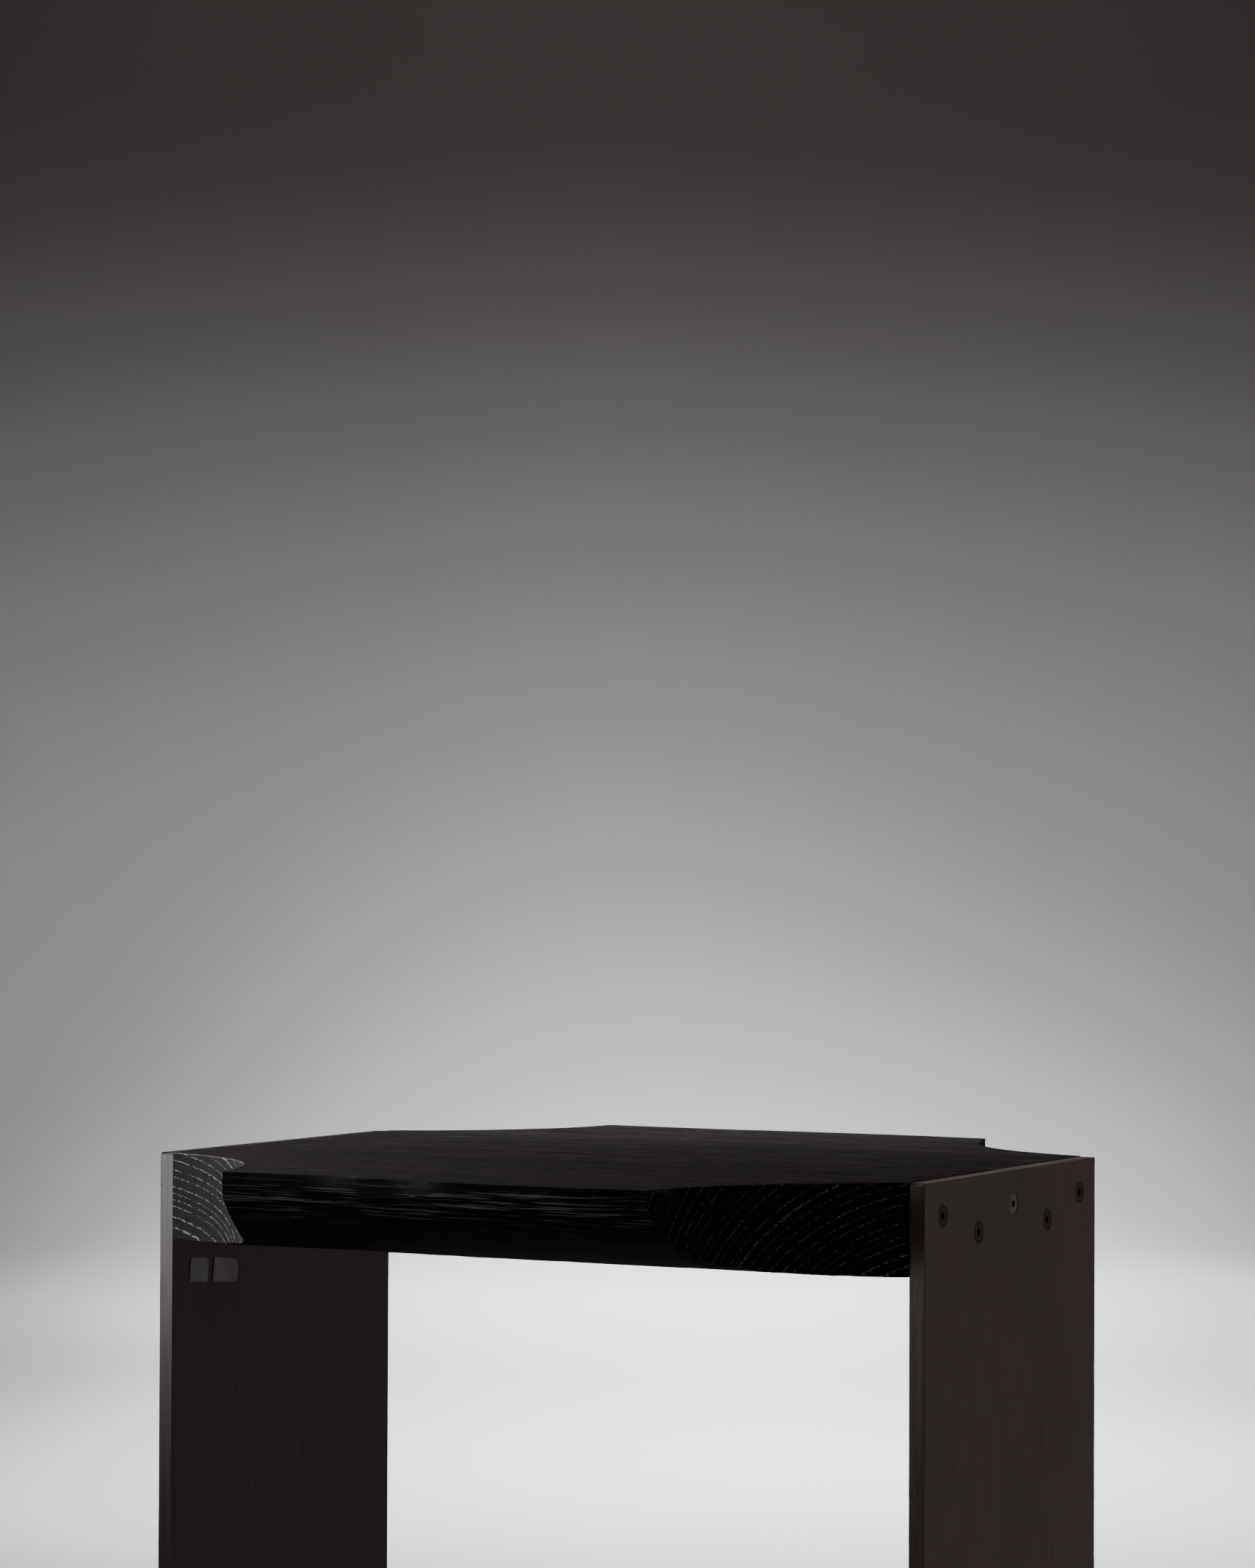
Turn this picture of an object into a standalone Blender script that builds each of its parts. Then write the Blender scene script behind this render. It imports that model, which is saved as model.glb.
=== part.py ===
"""Display plinth: an oak top of two edge-joined planks, hung between two steel leg plates.

The top has a flat show face and two natural long edges, whose undersides curve up to a thin nose.
A scoop is cut out of each of its corners, so that its ends meet the leg plates over the plates' own
depth. Each plate is fixed to the end grain by five countersunk machine screws, which run into
threaded inserts. Loose tenons hold the two planks together at their joint.

Metres, +Z up. X runs along the grain from the left plate to the right one, and -Y is the front.
The origin is on the floor, below the middle of the top.
"""

import math

import bmesh
import bpy
from mathutils import Euler, Matrix, Vector
from mathutils.geometry import interpolate_bezier

# Driving dimensions
HEIGHT = 0.450              # floor to show face
CLEAR_WIDTH = 0.620         # between the inner faces of the leg plates
PLATE_THICKNESS = 0.012
PLATE_DEPTH = 0.324
PLATE_DROP = 0.0005         # the plates' top edges lie this far below the show face
PLATE_CORNER = 0.002        # radius of a plate's corners, seen from the side
PLATE_EDGE_BREAK = 0.0006
TOP_THICKNESS = 0.067
TOP_DEPTH = 0.660
JOINT_Y = -0.010            # the joint between the two planks
TOUCH_GAP = 0.0003          # kept between pieces that touch

# Section of a long edge
NOSE_DROP = 0.012           # the nose, where the top is deepest, lies this far below the show face
SHOW_EDGE_INSET = 0.005     # from the nose back to the show face's edge

# Fasteners
SCREWS_PER_PLATE = 5
SCREW_PITCH = 0.065
HIGH_SCREW_DROP = 0.0255    # below the show face, for the first, third and fifth screws
LOW_SCREW_DROP = 0.0418     # below the show face, for the second and fourth
SCREW_RADIUS = 0.004        # M8
SCREW_LENGTH = 0.040
HEAD_RADIUS = 0.008
HEAD_RIM = 0.0004           # height of the head's short cylindrical rim
HEAD_SINK = 0.0003          # the head lies this far below the plate's outer face
SOCKET_ACROSS_FLATS = 0.005
SOCKET_DEPTH = 0.003
INSERT_RADIUS = 0.00635
INSERT_LENGTH = 0.025
INSERT_SET_IN = 0.001       # the insert's mouth lies this far inside the end grain
PILOT_DEPTH = 0.031
PLAIN_SCREW = "right_screw_3"   # plain steel, where the other screws are dark

# Loose tenons in the joint
TENON_COUNT = 4
TENON_PITCH = 0.140
TENON_WIDTH = 0.060
TENON_THICKNESS = 0.014
TENON_LENGTH = 0.080
MORTISE_CLEARANCE = 0.001   # spare depth at each end of a tenon

# Blank paper labels on the left plate's inner face: width, height, middle's Y, middle's Z,
# tilt in degrees and radius of the rear corners
LABELS = (
    (0.0255, 0.0190, -0.1254, 0.3563, -5.0, 0.0030),
    (0.0345, 0.0188, -0.0881, 0.3531, -6.5, 0.0065),
)
LABEL_THICKNESS = 0.0002
LABEL_FRONT_CORNER = 0.0010

TURNED_STEPS = 20
SCOOP_STEPS = 10
EDGE_STEPS = 7
SHOW_EDGE_STEPS = 4
CUTTER_OVERRUN = 0.020

HALF_WIDTH = CLEAR_WIDTH / 2
HALF_PLATE = PLATE_DEPTH / 2
OVERHANG = TOP_DEPTH / 2 - HALF_PLATE
UNDERSIDE_Z = HEIGHT - TOP_THICKNESS

# Scoops, as Bezier control points measured along X from the plate and along Y from the plate's edge.
# Opposite corners match, so the top looks the same after half a turn.
WIDE_SCOOP = ((0.0, 0.001), (0.066, 0.024), (0.125, 0.052), (0.149, OVERHANG))
DEEP_SCOOP = ((0.0, 0.001), (0.076, 0.044), (0.119, 0.104), (0.123, OVERHANG))

# Underside of a long edge, from the nose to the flat: outward from the plate's edge, and down
NOSE_CURVE = (
    (OVERHANG, NOSE_DROP),
    (OVERHANG, 0.021),
    (0.133, TOP_THICKNESS),
    (0.0, TOP_THICKNESS),
)
# Upper part of a long edge, from the nose to the show face's edge
SHOW_EDGE_CURVE = (
    (OVERHANG, NOSE_DROP),
    (OVERHANG, NOSE_DROP * 0.4),
    (OVERHANG - SHOW_EDGE_INSET * 0.4, 0.0),
    (OVERHANG - SHOW_EDGE_INSET, 0.0),
)

# Turns a flat outline drawn in X and Y so that it stands in Y and Z, thickened along X
STANDING_ALONG_X = Euler((math.pi / 2, 0, math.pi / 2)).to_matrix().to_4x4()
# Turns a piece built along +Z so that it points along +X or -X
POINTING = {
    "right": Matrix.Rotation(math.pi / 2, 4, "Y"),
    "left": Matrix.Rotation(-math.pi / 2, 4, "Y"),
}


def clear_scene():
    """Remove every object that the new file came with."""
    for obj in list(bpy.data.objects):
        bpy.data.objects.remove(obj, do_unlink=True)


def new_collection(name):
    """A collection linked to the scene."""
    collection = bpy.data.collections.new(name)
    bpy.context.scene.collection.children.link(collection)
    return collection


def new_material(name, colour, roughness, metallic):
    """A plain Principled material."""
    material = bpy.data.materials.new(name)
    material.use_nodes = True
    shader = material.node_tree.nodes["Principled BSDF"]
    shader.inputs["Base Color"].default_value = (*colour, 1.0)
    shader.inputs["Roughness"].default_value = roughness
    shader.inputs["Metallic"].default_value = metallic
    material.diffuse_color = (*colour, 1.0)
    return material


def mesh_object(name, mesh, collection, placement=None):
    """An object for a mesh, linked to a collection and placed by a matrix."""
    obj = bpy.data.objects.new(name, mesh)
    collection.objects.link(obj)
    if placement is not None:
        obj.matrix_world = placement
    return obj


def bezier(points, steps):
    """Points along one Bezier stretch, given its two ends and two handles."""
    start, handle_1, handle_2, end = (Vector(point) for point in points)
    return [tuple(p) for p in interpolate_bezier(start, handle_1, handle_2, end, steps + 1)]


def prism(name, outline, thickness, collection, placement=None):
    """A closed flat outline thickened about its own plane, as a welded mesh object."""
    curve = bpy.data.curves.new(name, "CURVE")
    curve.dimensions = "2D"
    curve.fill_mode = "BOTH"
    curve.extrude = thickness / 2
    spline = curve.splines.new("POLY")
    spline.points.add(len(outline) - 1)
    for spline_point, (x, y) in zip(spline.points, outline):
        spline_point.co = (x, y, 0, 1)
    spline.use_cyclic_u = True
    drawn = bpy.data.objects.new(name + "_outline", curve)
    collection.objects.link(drawn)
    bpy.context.view_layer.update()
    depsgraph = bpy.context.evaluated_depsgraph_get()
    mesh = bpy.data.meshes.new_from_object(drawn.evaluated_get(depsgraph))
    bpy.data.objects.remove(drawn, do_unlink=True)
    weld_caps(mesh)
    mesh.name = name
    return mesh_object(name, mesh, collection, placement)


def weld_caps(mesh):
    """Join a filled curve's loose caps to its walls."""
    bm = bmesh.new()
    bm.from_mesh(mesh)
    bmesh.ops.remove_doubles(bm, verts=bm.verts, dist=1e-6)
    bmesh.ops.recalc_face_normals(bm, faces=bm.faces)
    bm.to_mesh(mesh)
    bm.free()


def turned(name, profile, collection, closed=False):
    """A piece turned about Z from a profile in X and Z that runs down its outer side."""
    mesh = bpy.data.meshes.new(name)
    edges = [(i, i + 1) for i in range(len(profile) - 1)]
    if closed:
        edges.append((len(profile) - 1, 0))
    mesh.from_pydata([(x, 0, z) for x, z in profile], edges, [])
    obj = mesh_object(name, mesh, collection)
    screw = obj.modifiers.new("Turn", "SCREW")
    screw.axis = "Z"
    screw.angle = math.tau
    screw.steps = TURNED_STEPS
    screw.render_steps = TURNED_STEPS
    screw.use_merge_vertices = True
    screw.merge_threshold = 1e-5
    screw.use_smooth_shade = True
    return obj


def cut(obj, cutter):
    """Cut one object out of another with an exact Boolean."""
    cutter.hide_render = True
    cutter.display_type = "WIRE"
    boolean = obj.modifiers.new("Cut " + cutter.name, "BOOLEAN")
    boolean.operation = "DIFFERENCE"
    boolean.solver = "EXACT"
    boolean.object = cutter


def shade_smooth(obj, angle_degrees=35):
    """Smooth shading that keeps the corners sharp."""
    obj.data.shade_smooth()
    obj.data.set_sharp_from_angle(angle=math.radians(angle_degrees))


# The top

def plank_section(side):
    """Section of one plank in Y and Z. side is -1 for the front plank and 1 for the rear one."""
    joint = JOINT_Y + side * TOUCH_GAP / 2
    underside = bezier(NOSE_CURVE, EDGE_STEPS)[::-1]
    nose_to_show_face = bezier(SHOW_EDGE_CURVE, SHOW_EDGE_STEPS)
    outline = [(joint, UNDERSIDE_Z)]
    for outward, drop in underside + nose_to_show_face[1:]:
        outline.append((side * (HALF_PLATE + outward), HEIGHT - drop))
    outline.append((joint, HEIGHT))
    return outline


def scoop_cutter(name, scoop, x_side, y_side, collection):
    """The waste that is sawn out of one corner of the top."""
    outline = [(x_side * (HALF_WIDTH - along), y_side * (HALF_PLATE + outward))
               for along, outward in bezier(scoop, SCOOP_STEPS)]
    end_x, end_y = outline[-1]
    far_x = x_side * (HALF_WIDTH + CUTTER_OVERRUN)
    far_y = y_side * (TOP_DEPTH / 2 + CUTTER_OVERRUN)
    outline += [(end_x, far_y), (far_x, far_y), (far_x, outline[0][1])]
    middle = Matrix.Translation((0, 0, HEIGHT - TOP_THICKNESS / 2))
    return prism(name, outline, TOP_THICKNESS + 2 * CUTTER_OVERRUN, collection, middle)


def rounded_rectangle(width, height, left_corner, right_corner, steps=4):
    """A rectangle in X and Y with its middle at the origin and rounded corners."""
    points = []
    for quarter, (sx, sy) in enumerate(((1, 1), (-1, 1), (-1, -1), (1, -1))):
        radius = right_corner if sx > 0 else left_corner
        for step in range(steps + 1):
            angle = math.pi / 2 * (quarter + step / steps)
            points.append((
                sx * (width / 2 - radius) + radius * math.cos(angle),
                sy * (height / 2 - radius) + radius * math.sin(angle),
            ))
    return points


def stadium(length, width, steps=6):
    """A rectangle in X and Y whose short sides are half circles."""
    radius = width / 2
    points = []
    for side in (1, -1):
        for step in range(steps + 1):
            angle = math.pi * (step / steps - side / 2)
            centre_x = side * (length / 2 - radius)
            points.append((centre_x + radius * math.cos(angle), radius * math.sin(angle)))
    return points


def tenon_places():
    """The middle of each loose tenon."""
    z = HEIGHT - TOP_THICKNESS / 2
    first = -(TENON_COUNT - 1) / 2 * TENON_PITCH
    return [Vector((first + index * TENON_PITCH, JOINT_Y, z)) for index in range(TENON_COUNT)]


def tenon_solid(name, place, spare, spare_length, collection):
    """A loose tenon, or the mortise around it when spare is above zero."""
    outline = stadium(TENON_WIDTH + 2 * spare, TENON_THICKNESS + 2 * spare)
    standing = Matrix.Translation(place) @ Matrix.Rotation(math.pi / 2, 4, "X")
    return prism(name, outline, TENON_LENGTH + 2 * spare_length, collection, standing)


def screw_places(x_side):
    """Each screw's index, and the point where its axis meets the wood's end."""
    first = -(SCREWS_PER_PLATE - 1) / 2 * SCREW_PITCH
    for index in range(SCREWS_PER_PLATE):
        drop = LOW_SCREW_DROP if index % 2 else HIGH_SCREW_DROP
        yield index, Vector((x_side * HALF_WIDTH, first + index * SCREW_PITCH, HEIGHT - drop))


def pilot_cutter(name, place, side_name, collection):
    """The blind hole in the end grain that takes one threaded insert."""
    bottom = -PILOT_DEPTH
    mouth = CUTTER_OVERRUN
    radius = INSERT_RADIUS + TOUCH_GAP
    cutter = turned(name, [(0, mouth), (radius, mouth), (radius, bottom), (0, bottom)], collection)
    cutter.matrix_world = Matrix.Translation(place) @ POINTING[side_name]
    return cutter


def build_planks(parts, cutters, material):
    """The two planks, cut for their scoops, pilot holes and mortises."""
    length = CLEAR_WIDTH - 2 * TOUCH_GAP
    scoops = {
        ("front_plank", "left"): WIDE_SCOOP,
        ("front_plank", "right"): DEEP_SCOOP,
        ("rear_plank", "left"): DEEP_SCOOP,
        ("rear_plank", "right"): WIDE_SCOOP,
    }
    for name, y_side in (("front_plank", -1), ("rear_plank", 1)):
        plank = prism(name, plank_section(y_side), length, parts, STANDING_ALONG_X)
        plank.data.materials.append(material)
        for side_name, x_side in (("left", -1), ("right", 1)):
            scoop = scoops[(name, side_name)]
            cutter_name = f"{name}_{side_name}_scoop_cutter"
            cut(plank, scoop_cutter(cutter_name, scoop, x_side, y_side, cutters))
            for index, place in screw_places(x_side):
                if (place.y - JOINT_Y) * y_side > 0:
                    pilot_name = f"{side_name}_pilot_cutter_{index + 1}"
                    cut(plank, pilot_cutter(pilot_name, place, side_name, cutters))
        for index, place in enumerate(tenon_places()):
            mortise_name = f"{name}_mortise_cutter_{index + 1}"
            mortise = tenon_solid(mortise_name, place, TOUCH_GAP, MORTISE_CLEARANCE, cutters)
            cut(plank, mortise)
        shade_smooth(plank)


def build_tenons(parts, material):
    """The loose tenons inside the joint."""
    for index, place in enumerate(tenon_places()):
        tenon = tenon_solid(f"joint_tenon_{index + 1}", place, 0.0, 0.0, parts)
        tenon.data.materials.append(material)
        shade_smooth(tenon)


# The leg plates

def plate_hole_cutter(name, place, side_name, collection):
    """A clearance hole with its countersink, for one screw through a leg plate."""
    hole = SCREW_RADIUS + TOUCH_GAP
    mouth = HEAD_RADIUS + TOUCH_GAP
    outer = PLATE_THICKNESS
    sink_bottom = outer - HEAD_SINK - HEAD_RIM - (mouth - hole)
    profile = [
        (0, outer + CUTTER_OVERRUN),
        (mouth, outer + CUTTER_OVERRUN),
        (mouth, outer - HEAD_SINK - HEAD_RIM),
        (hole, sink_bottom),
        (hole, -CUTTER_OVERRUN),
        (0, -CUTTER_OVERRUN),
    ]
    cutter = turned(name, profile, collection)
    cutter.matrix_world = Matrix.Translation(place) @ POINTING[side_name]
    return cutter


def build_leg_plates(parts, cutters, material):
    """Both leg plates, with rounded corners, broken edges and countersunk holes."""
    height = HEIGHT - PLATE_DROP
    outline = rounded_rectangle(PLATE_DEPTH, height, PLATE_CORNER, PLATE_CORNER)
    for side_name, x_side in (("left", -1), ("right", 1)):
        middle = Matrix.Translation((x_side * (HALF_WIDTH + PLATE_THICKNESS / 2), 0, height / 2))
        plate = prism(
            f"{side_name}_leg_plate", outline, PLATE_THICKNESS, parts, middle @ STANDING_ALONG_X)
        plate.data.materials.append(material)
        bevel = plate.modifiers.new("Broken edges", "BEVEL")
        bevel.width = PLATE_EDGE_BREAK
        bevel.segments = 1
        bevel.limit_method = "ANGLE"
        bevel.angle_limit = math.radians(60)
        for index, place in screw_places(x_side):
            hole_name = f"{side_name}_plate_hole_cutter_{index + 1}"
            cut(plate, plate_hole_cutter(hole_name, place, side_name, cutters))


# Fasteners

def screw_solid(name, place, side_name, parts, cutters):
    """A countersunk socket screw whose head looks outward."""
    head_top = PLATE_THICKNESS - HEAD_SINK
    cone_bottom = head_top - HEAD_RIM - (HEAD_RADIUS - SCREW_RADIUS)
    tip = head_top - SCREW_LENGTH
    chamfer = SCREW_RADIUS / 4
    profile = [
        (0, head_top),
        (HEAD_RADIUS, head_top),
        (HEAD_RADIUS, head_top - HEAD_RIM),
        (SCREW_RADIUS, cone_bottom),
        (SCREW_RADIUS, tip + chamfer),
        (SCREW_RADIUS - chamfer, tip),
        (0, tip),
    ]
    screw = turned(name, profile, parts)
    screw.matrix_world = Matrix.Translation(place) @ POINTING[side_name]
    corner_radius = SOCKET_ACROSS_FLATS / math.sqrt(3)
    half_hexagon_turn = math.pi / 6
    hexagon = [(corner_radius * math.cos(half_hexagon_turn + math.tau * k / 6),
                corner_radius * math.sin(half_hexagon_turn + math.tau * k / 6)) for k in range(6)]
    socket_middle = Matrix.Translation((0, 0, head_top))
    placement = screw.matrix_world @ socket_middle
    cut(screw, prism(name + "_socket_cutter", hexagon, 2 * SOCKET_DEPTH, cutters, placement))
    return screw


def insert_solid(name, place, side_name, parts):
    """A threaded insert in the end grain, as a plain tube."""
    mouth = -INSERT_SET_IN
    bottom = mouth - INSERT_LENGTH
    bore = SCREW_RADIUS + TOUCH_GAP
    profile = [(bore, mouth), (INSERT_RADIUS, mouth), (INSERT_RADIUS, bottom), (bore, bottom)]
    insert = turned(name, profile, parts, closed=True)
    insert.matrix_world = Matrix.Translation(place) @ POINTING[side_name]
    return insert


def build_fasteners(parts, cutters, screw_material, plain_material, insert_material):
    """Five screws and five inserts for each leg plate. One screw is a plain steel spare."""
    for side_name, x_side in (("left", -1), ("right", 1)):
        for index, place in screw_places(x_side):
            number = index + 1
            name = f"{side_name}_screw_{number}"
            screw = screw_solid(name, place, side_name, parts, cutters)
            plain = name == PLAIN_SCREW
            screw.data.materials.append(plain_material if plain else screw_material)
            insert = insert_solid(f"{side_name}_insert_{number}", place, side_name, parts)
            insert.data.materials.append(insert_material)


# Labels

def build_labels(parts, material):
    """Two blank paper labels on the inner face of the left leg plate."""
    x = -HALF_WIDTH + TOUCH_GAP + LABEL_THICKNESS / 2
    for number, (width, height, y, z, tilt, rear_corner) in enumerate(LABELS, start=1):
        tilted = Matrix.Rotation(math.radians(tilt), 4, "Z")
        placement = Matrix.Translation((x, y, z)) @ STANDING_ALONG_X @ tilted
        outline = rounded_rectangle(width, height, LABEL_FRONT_CORNER, rear_corner)
        label = prism(f"paper_label_{number}", outline, LABEL_THICKNESS, parts, placement)
        label.data.materials.append(material)


def main():
    """Build the whole plinth."""
    clear_scene()
    parts = new_collection("display_plinth")
    cutters = new_collection("display_plinth_cutters")
    oak = new_material("blackened_oak", (0.020, 0.017, 0.018), 0.5, 0.0)
    beech = new_material("beech", (0.55, 0.38, 0.22), 0.6, 0.0)
    plate_steel = new_material("brushed_plate_steel", (0.42, 0.40, 0.39), 0.35, 1.0)
    screw_steel = new_material("dark_screw_steel", (0.10, 0.10, 0.11), 0.3, 1.0)
    plain_steel = new_material("plain_screw_steel", (0.36, 0.34, 0.33), 0.4, 1.0)
    insert_steel = new_material("zinc_plated_steel", (0.62, 0.61, 0.58), 0.35, 1.0)
    paper = new_material("label_paper", (0.78, 0.75, 0.68), 0.8, 0.0)
    build_planks(parts, cutters, oak)
    build_tenons(parts, beech)
    build_leg_plates(parts, cutters, plate_steel)
    build_fasteners(parts, cutters, screw_steel, plain_steel, insert_steel)
    build_labels(parts, paper)
    bpy.context.view_layer.update()


main()
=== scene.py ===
"""Looks of the display plinth: a blackened-oak top hung between two brushed steel plates.

Metres, in the CAD's frame: X runs along the grain, -Y is the front and the floor is at Z = 0.
The object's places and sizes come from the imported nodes' boxes, or are named in this first section.
"""

import math

import bmesh
import bpy
import numpy as np
from mathutils import Euler, Matrix, Vector, noise
from mathutils.geometry import interpolate_bezier


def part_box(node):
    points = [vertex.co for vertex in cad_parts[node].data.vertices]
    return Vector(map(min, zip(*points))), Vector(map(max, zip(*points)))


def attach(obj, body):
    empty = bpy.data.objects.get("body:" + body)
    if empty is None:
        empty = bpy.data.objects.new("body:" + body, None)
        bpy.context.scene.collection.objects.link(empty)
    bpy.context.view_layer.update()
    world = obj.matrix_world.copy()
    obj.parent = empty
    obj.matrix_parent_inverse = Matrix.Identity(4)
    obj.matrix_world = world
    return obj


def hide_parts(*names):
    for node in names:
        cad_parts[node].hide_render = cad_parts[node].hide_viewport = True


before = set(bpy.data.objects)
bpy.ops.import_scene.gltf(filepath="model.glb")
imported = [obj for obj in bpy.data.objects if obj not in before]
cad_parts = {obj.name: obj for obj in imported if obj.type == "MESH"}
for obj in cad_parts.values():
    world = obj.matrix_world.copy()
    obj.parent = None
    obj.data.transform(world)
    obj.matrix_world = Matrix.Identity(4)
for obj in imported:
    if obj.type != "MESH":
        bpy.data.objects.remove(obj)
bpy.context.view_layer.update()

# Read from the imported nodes
FRONT_LOW, FRONT_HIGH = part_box("front_plank")
REAR_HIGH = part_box("rear_plank")[1]
PLATE_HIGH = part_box("right_leg_plate")[1]
SHOW_Z = FRONT_HIGH.z
THICKNESS = FRONT_HIGH.z - FRONT_LOW.z
HALF_LENGTH = FRONT_HIGH.x
HALF_PLATE = PLATE_HIGH.y
OVERHANG = REAR_HIGH.y - HALF_PLATE

SIDES = (("left", -1), ("right", 1))
SCREWS_PER_PLATE = 5

# Section of a long edge: outward from the plate's edge, and down. The underside is the CAD's, and
# the show face's edge is a little sharper than the CAD's
NOSE_DROP = 0.012
SHOW_EDGE_INSET = 0.003
NOSE_CURVE = ((OVERHANG, NOSE_DROP), (OVERHANG, 0.021), (0.133, THICKNESS), (0.0, THICKNESS))
SHOW_EDGE_CURVE = (
    (OVERHANG - SHOW_EDGE_INSET, 0.0),
    (OVERHANG - 0.0008, 0.0),
    (OVERHANG, 0.0022),
    (OVERHANG, NOSE_DROP),
)
# Scoops: along X from the plate, and along Y from the plate's edge
WIDE_SCOOP = ((0.0, 0.001), (0.066, 0.024), (0.125, 0.052), (0.149, OVERHANG))
DEEP_SCOOP = ((0.0, 0.001), (0.076, 0.044), (0.119, 0.104), (0.123, OVERHANG))
SCOOPS = {
    ("front_plank", -1): WIDE_SCOOP,
    ("front_plank", 1): DEEP_SCOOP,
    ("rear_plank", -1): DEEP_SCOOP,
    ("rear_plank", 1): WIDE_SCOOP,
}
# How far the natural edge falls short of the plank's full depth: X, and the shortfall
SHORTFALL = {
    "front_plank": ((-0.19, 0.008), (-0.10, 0.011), (-0.03, 0.006), (0.03, 0.0), (0.12, 0.001),
                    (0.19, 0.004)),
    "rear_plank": ((-0.19, 0.002), (-0.09, 0.005), (-0.01, 0.001), (0.09, 0.0), (0.16, 0.004)),
}
CREASE_RADIUS = 0.0009      # of the scoops' sawn edges
CREASE_FADE = 0.030         # the crease sharpens over this length towards a horn's tip
TIP_RADIUS = 0.0012         # of a horn's tip, seen from above
JOINT_CHAMFER = 0.0008      # depth of the chamfer along the joint, which is twice as wide
WOBBLE = 0.0012             # of the nose, seen from above
WOBBLE_START = 0.004        # the wobble grows until the nose falls this far short
RIPPLE = 0.0011             # height of the natural edge's undulation
RIPPLE_START = 0.05         # the undulation grows over this length from the plate's edge
RIPPLE_FADE = 0.006         # and dies out over this length towards the nose
UNEVENNESS = 0.00008        # of the show face
UNEVENNESS_FADE = 0.08      # it dies out over this length towards the nose
CUP_DEPTH = 0.0008          # the rear plank is hollow by this much beside the joint
CUP_MIDDLE = 0.02604        # from the joint
CUP_SPREAD = 0.02232

TOP_ROWS = 30
SHOW_EDGE_ROWS = 9
WALL_ROWS = 9
CREASE_ROWS = 4
UNDER_ROWS = 34
SCOOP_STATIONS = 44
TIP_STATIONS = 6
MIDDLE_STATIONS = 64
# Fine steps along the curves, before the rows and stations are placed
SHOW_EDGE_STEPS = 60
NOSE_STEPS = 120
SCOOP_STEPS = 400

# Holes and mortises, as on the CAD's planks
PILOT_DEPTH = 0.031
MORTISE_CLEARANCE = 0.001
CUTTER_OVERRUN = 0.020
HALF_TURN_STEPS = 16

# Fasteners. Their radii, sockets and gaps are the CAD's
SCREW_RADIUS = 0.004
THREAD_PITCH = 0.00125
THREAD_DEPTH = 0.61 * THREAD_PITCH
ROWS_PER_TURN = 6           # of the thread's mesh
HEAD_RADIUS = 0.008
SOCKET_ACROSS_FLATS = 0.005
SOCKET_DEPTH = 0.003
SOCKET_CONE = 0.0006        # the drill point below the socket
SOCKET_MOUTH = 0.0003       # its broken edge
HEAD_RIM = 0.0006           # height of the head's rounded rim
NECK_ROUND = 0.0003
SHANK_LENGTH = 0.006        # plain, between the head and the thread
INSERT_PITCH = 0.0030
INSERT_ROWS = 60
INSERT_GROOVE = 0.0011      # depth of the insert's outer thread
INSERT_LEAD = 0.0008        # plain, at each end of the insert
INSERT_MOUTH = 0.0006       # broken edge of its bore
INSERT_STEP = 0.0005        # the plain ends are this much thinner than the thread
INSERT_TAPER = 0.0014       # and its inner end by this much
PLATE_CORNER = 0.002
PLATE_EDGE_BREAK = 0.0006
BRIGHT_EDGE_FROM = 0.0001          # a broken edge is painted pale between these depths, partly rubbed, partly as painted highlight
BRIGHT_EDGE_TO = 0.0005
HOLE_RIM = 0.001            # points this near a screw's head belong to its hole
COUNTERSINK_RIM = 0.0007    # straight part of the countersink, its broken edge included
COUNTERSINK_BREAK = 0.0004
TOUCH_GAP = 0.0003

# Labels: width, height, tilt in degrees, radius of the rear corners, and their lift
LABELS = {
    "paper_label_1": (0.0255, 0.0190, -5.0, 0.0030, 0.0002),
    "paper_label_2": (0.0345, 0.0188, -6.5, 0.0065, 0.0009),
}
LABEL_THICKNESS = 0.00016
LABEL_FRONT_CORNER = 0.0010
LABEL_RINGS = 10

# The oak's colours
STAIN = (0.0065, 0.0053, 0.0060)
PALE_STAIN = (0.028, 0.0228, 0.0245)
BROWN_STAIN = (0.028, 0.021, 0.018)
# Painted shade on the faces that don't face up
SIDE_AND_UNDER_SHADE = (0.0035, 0.0030, 0.0036)
DEEP_STAIN = (0.0060, 0.0048, 0.0053)
END_GRAIN_STAIN = (0.0076, 0.0062, 0.0077)
JOINT_STAIN = (0.0030, 0.0025, 0.0028)
RAY_COLOUR = (0.070, 0.060, 0.060)
FILLER = (0.520, 0.490, 0.508)
# Pale sawn edges: partly rubbed, partly painted highlight
PALE_EDGE_AND_HIGHLIGHT = (0.300, 0.280, 0.275)
RING_PITCH = 0.0060         # mean width of a growth ring
# For each plank: its side of the joint, its log's pith in Y and Z, its grain's seed, and the colour
# of its paler fibres
PLANKS = {
    "front_plank": (-1, -0.112, 0.320, 1.7, (0.066, 0.054, 0.057)),
    "rear_plank": (1, 0.115, 0.318, 6.3, (0.048, 0.040, 0.043)),
}

# Where the camera looks, seen from above, and its right
CAMERA_AZIMUTH = 27.754
VIEW_AXIS = Vector((-math.sin(math.radians(CAMERA_AZIMUTH)), math.cos(math.radians(CAMERA_AZIMUTH))))
VIEW_RIGHT = Vector((VIEW_AXIS.y, -VIEW_AXIS.x))


# Small helpers

def link(name, mesh):
    """A new object for a mesh, in the scene."""
    obj = bpy.data.objects.new(name, mesh)
    bpy.context.scene.collection.objects.link(obj)
    return obj


def mesh_from(name, points, faces):
    """A mesh with its faces turned outward and coincident points joined."""
    mesh = bpy.data.meshes.new(name)
    mesh.from_pydata([tuple(p) for p in points], [], faces)
    bm = bmesh.new()
    bm.from_mesh(mesh)
    bmesh.ops.remove_doubles(bm, verts=bm.verts, dist=2e-6)
    bmesh.ops.recalc_face_normals(bm, faces=bm.faces)
    bm.to_mesh(mesh)
    bm.free()
    return mesh


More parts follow.
